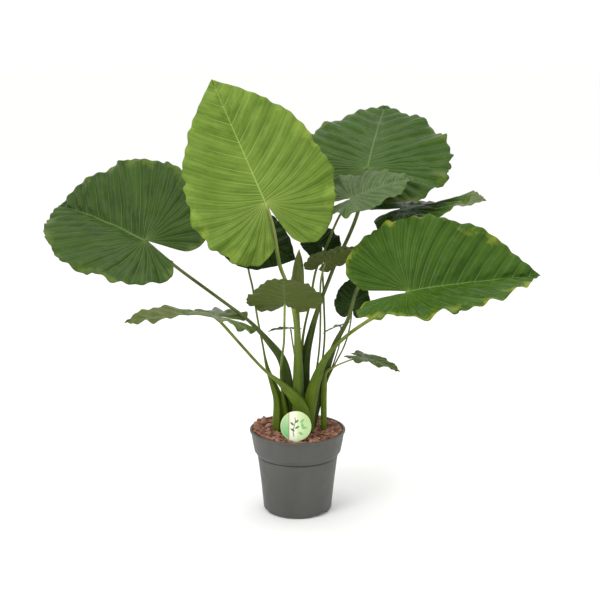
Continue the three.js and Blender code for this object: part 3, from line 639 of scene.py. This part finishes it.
LEAVES = {
    "front_leaf": leaf_row(BIG, "young", 312, (-75, -100, 587), (-0.4, 0.16, 0.9), (0, -1, 0.17),
        9, 26, 12, 0.6, 13, 4.5, [(0, -14, -12), (-4, -25, 275), (-28, -50, 387), (-42, -62, 429),
        (-58, -78, 524)]),
    "left_leaf": leaf_row(BIG, "mature", 350, (-371, 0, 480), (-0.72, 0.68, 0.145), (-0.38, -0.5, 0.78),
        32, 18, 20, 0.9, 14, 4.2, [(-14, 0, -12), (-22, -2, 100), (-38, -5, 180), (-70, -5, 226),
        (-117, -5, 278), (-190, 0, 334), (-300, 0, 418)]),
    "back_right_leaf": leaf_row(BIG, "broad", 370, (175, 120, 645), (0.175, 0.92, 0.345),
        (-0.05, -0.35, 0.93),
        6, 20, 14, 2.2, 12, 4.5, [(20, 14, -12), (21, 15, 175), (36, 25, 250), (56, 35, 317), (76, 45, 368),
        (98, 60, 421), (123, 75, 468), (150, 92, 534)], lobe_droop=4),
    "right_front_leaf": leaf_row(BIG, "ageing", 318, (262, -150, 387), (0.984, 0.157, 0.08),
        (0, -0.58, 0.81),
        34, 10, 8, 1.4, 15, 4.5, [(26, -22, -12), (30, -26, 58), (48, -30, 142), (74, -40, 203),
        (115, -60, 253), (164, -90, 298), (195, -115, 323), (228, -140, 356)]),
    "right_tilted_leaf": leaf_row(BIG, "deep", 236, (262, 106, 544), (0.94, 0.337, 0.03), (0, -0.15, 0.989),
        6, 16, 8, 3, 10, 4.5, [(32, 4, -12), (60, 2, 110), (93, 4, 218), (124, 8, 280), (146, 22, 350),
        (182, 48, 412), (226, 80, 478)], lobe_droop=10, twist=-40),
    "folded_leaf": leaf_row(SMALL, "dull", 162, (131, -28, 589), (0.92, 0.23, 0.25), (0, -0.31, 0.95),
        14, 22, 14, 1, 7, 3, [(8, 8, -12), (13, 20, 229), (31, 40, 317), (46, 48, 398), (70, 44, 456),
        (102, 4, 540)], veins=14, waves=9, lobe_droop=4, wave=4),
    "low_left_leaf": leaf_row(BIG, "pale", 220, (-202, -50, 303), (-0.963, -0.268, -0.012), (0, 0.1, 0.99),
        6, 14, 24, 1.9, 18, 3.8, [(10, -34, -12), (10, -46, 68), (-36, -57, 131), (-82, -60, 172),
        (-140, -56, 236), (-184, -52, 286)], veins=15, twist=30, wave=4),
    "low_centre_leaf": leaf_row(SMALL, "olive", 160, (-30, -100, 348), (0, -0.85, 0.52), (0, 0.5, 0.86),
        4, 16, 14, 0.3, 8, 2.8, [(-18, -14, -12), (-41, -26, 140), (-39, -46, 190), (-33, -66, 241),
        (-31, -90, 310)], veins=14, lobe_droop=-25, wave=3),
    "hanging_leaf": leaf_row(SMALL, "dark", 140, (-130, 50, 484), (0.9, -0.1, -0.42), (0.2, -0.9, 0.4),
        8, 20, 24, 1.2, 14, 2.5, [(-50, -14, -12), (-49, -15, 80), (-61, -6, 118), (-76, 4, 160),
        (-88, 18, 219), (-100, 26, 281), (-112, 36, 357), (-122, 42, 402)]),
    "mid_right_leaf": leaf_row(SMALL, "olive", 104, (67, -6, 428), (0.66, -0.6, 0.46), (-0.1, 0.45, 0.85),
        8, 20, 16, 0.5, 6, 2.5, [(16, 2, -12), (38, 16, 90), (54, 30, 200), (57, 38, 275), (57, 26, 370)]),
    "inner_leaf": leaf_row(SMALL, "dark", 90, (60, 96, 452), (-0.25, 0.85, 0.45), (0, -0.5, 0.85),
        10, 20, 20, 2, 6, 2.5, [(22, 8, -12), (48, 26, 90), (67, 46, 210), (66, 66, 310), (62, 90, 400)]),
    "small_right_leaf": leaf_row(SMALL, "dark", 80, (136, 60, 306), (0.1, 0.6, 0.75), (-0.1, -0.8, 0.6),
        8, 20, 16, 2.6, 4.5, 2, [(66, -3, -10), (69, -4, 110), (95, 3, 172), (113, 20, 202), (126, 40, 233),
        (134, 54, 270)]),
    "low_right_leaf": leaf_row(SMALL, "pale", 100, (161, -20, 192), (0.9, -0.31, -0.3), (0.25, 0, 0.97),
        6, 16, 20, 0.4, 7.5, 2, [(66, -6, -10), (66, -8, 110), (70, -10, 150), (95, -14, 168),
        (136, -18, 186)], opening=0.7),
    "small_back_leaf": leaf_row(SMALL, "olive", 62, (-18, 84, 240), (-0.9, 0.2, -0.2), (0.1, 0.25, 0.95),
        8, 20, 16, 0, 4, 2, [(6, 20, -12), (0, 40, 80), (-6, 62, 160), (-14, 78, 212)], wave=1.5),
    "tiny_back_leaf": leaf_row(SMALL, "deep", 52, (110, 100, 244), (-0.85, -0.3, -0.35), (-0.2, 0.3, 0.9),
        8, 20, 16, 1, 3, 1.8, [(67, -1, -10), (70, 2, 110), (93, 22, 174), (105, 58, 202), (110, 88, 228)],
        wave=1.5),
}

# %% Skin of each kind of leaf
# Field, deep, rib, margin and below for each kind. The youngest leaf is the brightest.
SKINS = {
    "young": ("#6a8232", "#4d681f", "#8b9c50", "#7d9238", "#617a3a"),
    "broad": ("#385218", "#28400e", "#536e30", "#5a6624", "#4c6330"),
    "ageing": ("#3e5c18", "#2c460f", "#5f7c34", "#858c2e", "#506930"),
    "mature": ("#384f1b", "#263a12", "#5a713a", "#55682a", "#475c2e"),
    "dull": ("#4f6338", "#3d4f2a", "#687a4e", "#586a3a", "#606e4e"),
    "deep": ("#385418", "#2a4210", "#54703a", "#5a6a2c", "#707c52"),
    "olive": ("#465722", "#384a1a", "#62703a", "#565f2c", "#4c5826"),
    "pale": ("#526529", "#42541c", "#70804a", "#646c2e", "#5f6b38"),
    # This kind is painted shade: the leaves that sit in shade inside the crown get a darker green.
    "dark": ("#263a12", "#1b2c0c", "#40542a", "#33471b", "#36441f"),
}
leaf_skins = {kind: waxy_leaf("waxy_leaf_" + kind, *colours) for kind, colours in SKINS.items()}
# The pale stem's bright top is partly pale basal veins and partly a painted highlight, on a stalk that sits in
# shade behind the front leaf.
pale_stem = smooth_stem("fleshy_pale_stem", "#4c6020", "#b2bc6a", "#5a6c26")
young_stem = smooth_stem("fleshy_young_stem", "#54661a", "#87914a", "#3e5014")
old_stem = smooth_stem("fleshy_old_stem", "#38481a", "#828c54", "#28360c")
STEM_SKINS = {"young": pale_stem, "broad": old_stem, "mature": old_stem, "deep": old_stem}
print(len(leaf_skins), "leaf skins")

# %% Blades and stems
for name, leaf in LEAVES.items():
    columns = 40 if leaf["length"] > 200 else 28
    blade_skin, stem_skin = leaf_skins[leaf["skin"]], STEM_SKINS.get(leaf["skin"], young_stem)
    add_piece(name + "_lamina", lamina(leaf, columns), blade_skin, "leaf_blade", name + "_blade")
    add_piece(name + "_petiole", petiole(leaf), stem_skin, "leaf_stem", name + "_stem")


# %% [markdown]
# ## The youngest leaf
# A new leaf comes up rolled round itself like an umbrella. It is a stem that swells into a spindle, with the
# overlapping margin as a step that winds round it. A profile with that step shows it as real relief, which a
# painted line would not.

# %% Rolled leaf
ROLLED_STEM = [(10, -2, -12), (10, 0, 100), (4, -4, 210), (-1, -4, 300)]
ROLLED_BLADE = [(-1, -4, 300), (-1, -3, 345), (1, -1, 400), (4, 0, 459)]


def rolled_blade():
    """Radius: 6 to 17 mm by a quarter sine over the first third, times 1 - s^4, with a spiral step of an
    eighth: the fraction of (a / 2 pi + 1.4 s) drops from one to nothing across the overlap."""
    path, tangent, at, share, angle = even_path(ROLLED_BLADE, 2, 96)
    swell = np.sin(np.pi / 2 * np.minimum(1, 3 * share))
    radius = np.maximum(0.8, (6 + 11 * swell) * (1 - share**4))
    turn = (angle / (2 * np.pi) + 1.4 * share) % 1
    outline = radius * (0.96 + 0.12 * turn * smoothstep(share, 0.02, 0.2) * smoothstep(turn, 1.0, 0.97))
    return stem_surface(path, tangent, at, outline, (0, 1, 0.1))


def rolled_stem():
    """A tube from 9 mm at the mix to 6 mm under the rolled blade, by a smoothstep."""
    path, tangent, at, share, angle = even_path(ROLLED_STEM, 4, STEM_SIDES)
    outline = 6 + 3 * (1 - smoothstep(share, 0.12, 0.5)) + 0 * angle
    return stem_surface(path, tangent, at, outline, (0, 1, 0.1))


rolled_skin = smooth_stem("rolled_leaf_skin", "#66743a", "#6c7642", "#525f2c")
add_piece("young_leaf_rolled", rolled_blade(), rolled_skin, "leaf_blade", "young_rolled_leaf_blade")
add_piece("young_leaf_petiole", rolled_stem(), young_stem, "leaf_stem", "young_rolled_leaf_stem")


# %% [markdown]
# ## Nursery pot
# The pot is moulded from recycled polypropylene: a bead round the lip, a collar that tapers in, a ledge where
# pots stop when they are stacked, a tapering body and drain notches in its foot. All but the notches is one
# turned profile. A Boolean could cut them, but lifting the foot's points over them keeps a clean grid.

# %% Pot profile
POT_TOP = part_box("pot")[1].z / MM
RIM_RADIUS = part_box("pot")[1].x / MM
COLLAR_RADIUS = RIM_RADIUS - 3
LEDGE_RADIUS = COLLAR_RADIUS - 8
BODY_RADIUS = LEDGE_RADIUS - 8  # just under the ledge
FOOT_RADIUS = 86
LEDGE_TOP = POT_TOP - 54
POT_WALL = 2.6


def arc(radius, height, size, start, end, steps=6):
    """Points of a quarter round: centre plus size times the cosine and sine of the angle, in degrees."""
    angle = np.radians(np.linspace(start, end, steps))
    return list(zip(radius + size * np.cos(angle), height + size * np.sin(angle)))


pot_profile = [
    (0, 0), (30, 0), (45, 0), *[(r, 0) for r in np.linspace(50, 77, 14)],
    *arc(FOOT_RADIUS - 8, 8, 8, -80, 0, 9), (FOOT_RADIUS + 0.5, 12), (92, 70), (98, 120),
    (BODY_RADIUS - 0.4, LEDGE_TOP - 16), (BODY_RADIUS - 0.8, LEDGE_TOP - 13.6),
    *[(BODY_RADIUS - 4, LEDGE_TOP - drop) for drop in (12.6, 9.4)],
    *arc(BODY_RADIUS + 1.4, LEDGE_TOP - 8.2, 1.2, -90, 0, 5), (LEDGE_RADIUS - 2.2, LEDGE_TOP - 2),
    *arc(LEDGE_RADIUS - 3, LEDGE_TOP + 1, 3, -30, 8, 4), (COLLAR_RADIUS - 3, POT_TOP - 26),
    (COLLAR_RADIUS - 0.4, POT_TOP - 8), (COLLAR_RADIUS, POT_TOP - 6),
    *arc(RIM_RADIUS - 1.6, POT_TOP - 3.2, 1.6, -70, 0, 5),
    *arc(RIM_RADIUS - 1.4, POT_TOP - 1.4, 1.4, 0, 90, 5),
    *arc(COLLAR_RADIUS - POT_WALL + 1, POT_TOP - 1, 1, 90, 180, 4),
    (LEDGE_RADIUS - POT_WALL, LEDGE_TOP), (BODY_RADIUS - POT_WALL - 4, LEDGE_TOP - 9), (90, 60),
    *[(r, 8) for r in (84, 82)], (79, 4), *[(r, 3) for r in np.linspace(77, 48, 14)], (40, 3), (0, 3),
]

# %% Pot with drain notches
NOTCHES = 3
NOTCH_WIDTH = 58
NOTCH_HEIGHT = 7
NOTCH_TURN = np.radians(313)  # from +X to the first


def pot_shell():
    """The turned profile; over each notch, points outside 53 mm rise to the notch's height, and the floor
    inside rises with them by one wall."""
    points, triangles = turned(pot_profile, 360)
    x, y, z = np.moveaxis(points, -1, 0)
    angle = np.arctan2(y, x)
    pitch = 2 * np.pi / NOTCHES
    off_centre = np.abs((angle - NOTCH_TURN + pitch / 2) % pitch - pitch / 2) * FOOT_RADIUS
    window = smoothstep(off_centre, NOTCH_WIDTH / 2 + 1, NOTCH_WIDTH / 2 - 4)
    window = window * smoothstep(np.hypot(x, y), 51, 55)
    rows = np.arange(len(pot_profile))[:, None]
    inside = rows > len(pot_profile) * 0.6
    lifted = np.maximum(z, window * (NOTCH_HEIGHT + POT_WALL * inside))
    return np.stack([x, y, lifted], -1).reshape(-1, 3), triangles


def moulded_polypropylene():
    """Recycled polypropylene, moulded: a dull grey with cloudy flow marks. IOR 1.49 and roughness about 0.5,
    with a spark-eroded grain of about 1 mm, a little coarser than life so that it shows."""
    plastic = Surface("moulded_recycled_polypropylene", IOR=1.49)
    place = plastic.place()
    flow = plastic.noise(plastic.stretch(place, (9, 9, 3)), 1.6, 6)
    grain = plastic.noise(place, 900, 2)
    grey = plastic.blend(plastic.spread(flow, 0.35, 0.65), "#3f3f3b", "#484844")
    grey = plastic.blend(plastic.spread(grain, 0.55, 0.75, 0, 0.25), grey, "#62625c")
    rough = plastic.spread(plastic.noise(place, 45, 6), 0.3, 0.7, 0.44, 0.58)
    return plastic.finish(Base_Color=grey, Roughness=rough, Normal=plastic.bump(grain, 0.3, 0.0003))


add_piece("nursery_pot", pot_shell(), moulded_polypropylene(), "pot_plastic", "pot")
print("pot", round(2 * RIM_RADIUS), "mm across and", round(POT_TOP), "mm tall")

# %% [markdown]
# ## Potting mix
# The mix is composted bark and coir, heaped a little round the stems. Its bulk is one turned bed with a lumpy
# top. On it lie fifteen hundred separate chips, because it is their shadows and broken edges that make bark
# look like bark, and a bump texture would leave the surface flat.

# %% Bed of mix
BED_RADIUS = COLLAR_RADIUS - POT_WALL - 1.2
MOUND = 8  # height of the middle above the edge
HEAP = 9  # extra height at the wall on the side where the pot was filled
HEAP_TURN = np.radians(190)
LUMPS = 2.2


def mix_height(radius, angle):
    """The mounded top: the mound is half a cosine, and the heap grows with the square of the radius and the
    cosine of the angle from its side."""
    heap = HEAP * (radius / BED_RADIUS) ** 2 * (0.5 + 0.5 * np.cos(angle - HEAP_TURN))
    mound = MOUND * (0.5 + 0.5 * np.cos(np.pi * np.minimum(1, radius / BED_RADIUS)))
    return soil_top - MOUND + mound + heap


def mix_bed():
    """A turned solid that fills the pot from the floor up, with lumps on top."""
    rings = np.linspace(BED_RADIUS, 0, 60)
    side = [(0, 14), (80, 14), (LEDGE_RADIUS - 12, LEDGE_TOP - 12), (LEDGE_RADIUS - 4.5, LEDGE_TOP)]
    points, triangles = turned(side + [(ring, 0) for ring in rings], 180)
    x, y, z = np.moveaxis(points, -1, 0)
    radius = np.hypot(x, y)
    rough_ground = ground_at(x, y, random_ground(28, 14))
    rough_ground = rough_ground * smoothstep(radius, BED_RADIUS, BED_RADIUS - 10)
    top = mix_height(radius, np.arctan2(y, x)) + LUMPS * rough_ground * (radius > 1)
    is_top = np.arange(len(z))[:, None] >= len(side)
    return np.stack([x, y, np.where(is_top, top, z)], -1).reshape(-1, 3), triangles


# %% Bark chips
CHIPS = 1500
PRESSED = 5  # how much lower the chips in front of the care card lie
CARD_MIDDLE = 37  # from the card's left edge


def chip_shape():
    """One chip: three rings of six points between two ends, on the unit sphere."""
    height = np.radians([-48, 0, 48])[:, None]
    angle = np.arange(6) * np.pi / 3
    x, y = np.cos(height) * np.cos(angle), np.cos(height) * np.sin(angle)
    ring = np.stack([x, y, np.sin(height) + 0 * angle], -1).reshape(-1, 3)
    around = np.arange(6)
    after = (around + 1) % 6
    low = np.stack([around, around + 6, after + 6], -1), np.stack([around, after + 6, after], -1)
    faces = [(part + 6 * ring_number)[:, ::-1] for ring_number in (0, 1) for part in low]
    bottom = np.stack([np.full(6, 18), around, after], -1)[:, ::-1]
    top = np.stack([np.full(6, 19), around + 12, after + 12], -1)
    return np.vstack([ring, [(0, 0, -1), (0, 0, 1)]]), np.vstack([*faces, bottom, top])


def bark_chips():
    """Every chip at once: the shape, dented at random, stretched to mostly 8 to 20 mm, laid nearly flat at
    a random turn and tilt, dropped on the bed, and pressed lower in front of the care card."""
    shape, faces = chip_shape()
    dent = rng.uniform(0.62, 1.18, (CHIPS, len(shape), 1))
    long = rng.gamma(3, 3.0, CHIPS) + 5
    wide, thick = long * rng.uniform(0.24, 0.42, CHIPS), long * rng.uniform(0.12, 0.26, CHIPS)
    size = np.stack([long / 2, wide, thick], -1)
    turn, tilt = rng.uniform(0, 2 * np.pi, CHIPS), rng.normal(0, 0.34, CHIPS)
    cos_turn, sin_turn, cos_tilt, sin_tilt = np.cos(turn), np.sin(turn), np.cos(tilt), np.sin(tilt)
    lengthwise = [cos_turn * cos_tilt, sin_turn * cos_tilt, sin_tilt]
    across = [-sin_turn, cos_turn, 0 * turn]
    upward = [-cos_turn * sin_tilt, -sin_turn * sin_tilt, cos_tilt]
    axes = np.array([lengthwise, across, upward]).transpose(2, 0, 1)
    radius = (BED_RADIUS - 3.5) * np.sqrt(rng.uniform(0.02, 1, CHIPS))
    angle = rng.uniform(0, 2 * np.pi, CHIPS)
    x, y = radius * np.cos(angle), radius * np.sin(angle)
    card_corner = np.array(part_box("care_label")[0]) / MM
    pressed = smoothstep(np.abs(x - card_corner[0] - CARD_MIDDLE), 50, 25) * (y < card_corner[1] + 10)
    z = mix_height(radius, angle) + rng.uniform(0.5, 7.5, CHIPS) - PRESSED * pressed
    middle = np.stack([x, y, z], -1)
    points = np.einsum("npk,nkj->npj", shape[None] * dent * size[:, None, :], axes) + middle[:, None, :]
    reach = np.hypot(points[..., 0], points[..., 1])
    keep = np.maximum(1, reach / (BED_RADIUS + 0.5))
    points[..., :2] /= keep[..., None]
    triangles = (faces[None] + len(shape) * np.arange(CHIPS)[:, None, None]).reshape(-1, 3)
    tone = np.repeat(rng.uniform(0, 1, CHIPS), len(shape))
    return points.reshape(-1, 3), triangles, {"tone": tone}


# %% Bark material
def composted_bark(name, dark, middle, pale, tone_of_chip):
    """Composted bark: matt and fibrous, so roughness 0.95 and a grain of 1 to 3 mm, whose hollows get painted
    shade. Its tone comes from the chip, or else from patches of about 17 mm."""
    bark = Surface(name, Roughness=0.95, IOR=1.4)
    place = bark.place()
    fibre = bark.noise(place, 380, 5)
    tone = bark.layer("tone") if tone_of_chip else bark.noise(place, 60, 4)
    colour = bark.blend(bark.spread(tone, 0.05, 0.5), dark, middle)
    colour = bark.blend(bark.spread(tone, 0.6, 1), colour, pale)
    # Painted shade: where the fibre grain dips, the colour darkens towards the dark colour.
    colour = bark.blend(bark.spread(fibre, 0.35, 0.65, 0.45, 0), colour, dark)
    return bark.finish(Base_Color=colour, Normal=bark.bump(fibre, 0.7, 0.0012))


bed_bark = composted_bark("damp_composted_bark", "#4a2f24", "#6f4b3a", "#8a6350", False)
add_piece("potting_mix_bed", mix_bed(), bed_bark, "potting_mix", "potting_mix")
chip_bark = composted_bark("dry_bark_chips", "#5f3e31", "#936651", "#b48c75", True)
add_piece("bark_chips", bark_chips(), chip_bark, "potting_mix", smooth=False)

# %% [markdown]
# ## Corms
# The stems grow from three corms, the swollen stem bases that store the plant's starch. Only their crowns
# stand out of the mix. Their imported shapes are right, so they keep them and only get a skin.

# %% Corm skin
def fibrous_corm():
    """Fibrous corm skin: rough, ringed every few millimetres, tan with green patches."""
    skin = Surface("fibrous_corm_skin", Roughness=0.85, IOR=1.45)
    place = skin.place()
    rings = skin.noise(skin.stretch(place, (60, 60, 520)), 1, 5)
    colour = skin.blend(skin.spread(skin.noise(place, 70, 3), 0.45, 0.65), "#7a6242", "#66713a")
    colour = skin.blend(rings, "#4c3a26", colour)
    return skin.finish(Base_Color=colour, Normal=skin.bump(rings, 0.6, 0.0012))


corm_skin = fibrous_corm()
for node_name in ("main_corm", "left_offset_corm", "right_offset_corm"):
    corm_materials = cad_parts[node_name].data.materials
    corm_materials.clear()
    corm_materials.append(corm_skin)
print("corms dressed")

# %% [markdown]
# ## Care card
# A grower's card on a stake: printed polystyrene, 1.2 mm thick. The disc and the stake are one stamping, so
# the outline is worked out as one: along each direction from the middle it is the farther of the two. The
# print is generic: fields of green, a thin rule and a sprig, with no words.

# %% Outline and print of the card
CARD_RADIUS = 37.5
STAKE_HALF = 8
STAKE_END = 80.5  # below the middle of the disc
CARD_HALF = 0.6  # half its thickness
EDGE_ROUND = 0.15
card_lean = np.radians(5)
card_low, card_high = (np.array(corner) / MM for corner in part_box("care_label"))


def card_outline(angle):
    """The farther of the disc's radius and the way to the stake's edge, min(8 / |cos a|, 80.5 / |sin a|)."""
    to_side = STAKE_HALF / np.maximum(np.abs(np.cos(angle)), 1e-6)
    to_end = STAKE_END / np.maximum(-np.sin(angle), 1e-6)
    stake = np.where(np.sin(angle) < 0, np.minimum(to_side, to_end), 0)
    return np.maximum(CARD_RADIUS, stake)


def leaf_mark(u, v, at_u, at_v, turn, length, width):
    """Where a little leaf shape is printed: |across| under width (1 - along^2) with along from -1 to 1."""
    along = ((u - at_u) * np.cos(turn) + (v - at_v) * np.sin(turn)) / length
    across = -(u - at_u) * np.sin(turn) + (v - at_v) * np.cos(turn)
    return smoothstep(width * (1 - along**2) - np.abs(across), -0.4, 0.4)


def card_print(u, v):
    """Linear colour at a point of the card's face, laid down one field over another."""
    ground = np.zeros((*u.shape, 4)) + paint("#c3d3a0")
    fade = smoothstep(v, -30, 30)
    stalk = np.abs(u + 4 - 2.5 * np.sin(v / 9)) < 0.9
    fields = [
        ("#a5c184", smoothstep(u, 6, 26)),
        ("#58a05a", smoothstep(-u, 16.6, 17.4) * (1 - 0.55 * fade)),
        ("#d9dcc4", smoothstep(u, -16.6, -16) * smoothstep(-u, -4, -1)),
        ("#7c4433", smoothstep(u, -17.6, -17.2) * smoothstep(-u, 15.8, 16.2)),
        ("#2c3a24", stalk * (np.abs(v + 2) < 24.0)),
    ]
    for mark in ((-9, 6, 2.4), (2, 12, 0.7), (-8, -9, 2.6), (3, -3, 0.5)):
        fields.append(("#33522b", leaf_mark(u, v, *mark, 6.5, 2.6)))
    for mark in ((15, 13, 0.9), (21, -4, 0.2), (12, -18, -0.6), (16, 2, 1.6)):
        fields.append(("#6fa663", leaf_mark(u, v, *mark, 7, 3.2)))
    fields.append(("#b9cc98", (np.hypot(u, v) > CARD_RADIUS - 1.2) * 1.0))
    for ink, where in fields:
        ground = ground + (np.array(paint(ink)) - ground) * where[..., None]
    return ground


# %% Card solid
def care_card():
    """A polar grid on the outline: out across the front, over a rounded edge and back in behind; u is across,
    v up the card and w through it, and the card leans back 5 degrees."""
    corners = (np.arctan(STAKE_HALF / STAKE_END), np.arcsin(STAKE_HALF / CARD_RADIUS))
    corners = 1.5 * np.pi + np.array([-1, 1])[:, None] * corners
    angle = np.unique(np.concatenate([np.linspace(0, 2 * np.pi, 241), corners.ravel()]))
    radius = card_outline(angle)[None, :]
    front = np.linspace(0, 1, 64)
    bulge = np.concatenate([0 * front, [0, 1, 1, 0], 0 * front])[:, None]
    share = np.concatenate([front, [1, 1, 1, 1], front[::-1]])[:, None]
    depth = np.concatenate([0 * front - 1, [-1, -2 / 3, 2 / 3, 1], 0 * front + 1])[:, None] * CARD_HALF
    reach = (radius - EDGE_ROUND * (1 - bulge)) * share
    u, v, w = reach * np.cos(angle), reach * np.sin(angle), depth + 0 * radius
    top = np.array([0, np.sin(card_lean), np.cos(card_lean)])
    back = np.array([0, np.cos(card_lean), -np.sin(card_lean)])
    middle = np.array([(card_low[0] + card_high[0]) / 2, card_high[1], card_high[2]])
    middle -= CARD_RADIUS * top + (0, CARD_HALF, 0)
    points = middle + u[..., None] * np.array([1.0, 0, 0]) + v[..., None] * top + w[..., None] * back
    return points.reshape(-1, 3), grid_triangles(*u.shape), {"print": card_print(u, v).reshape(-1, 4)}


def printed_card():
    """Printed polystyrene sheet with a varnish: IOR 1.5, roughness 0.3, faint ink mottle."""
    sheet = Surface("varnished_printed_card", IOR=1.5, Roughness=0.3)
    mottle = sheet.spread(sheet.noise(sheet.place(), 300, 2), 0.4, 0.7, 0, 0.12)
    ink = sheet.blend(mottle, sheet.layer("print", "Color"), "#dfe6cd")
    return sheet.finish(Base_Color=ink, Normal=sheet.bump(mottle, 0.1, 0.0002))


add_piece("care_card", care_card(), printed_card(), "label_card", "care_label")
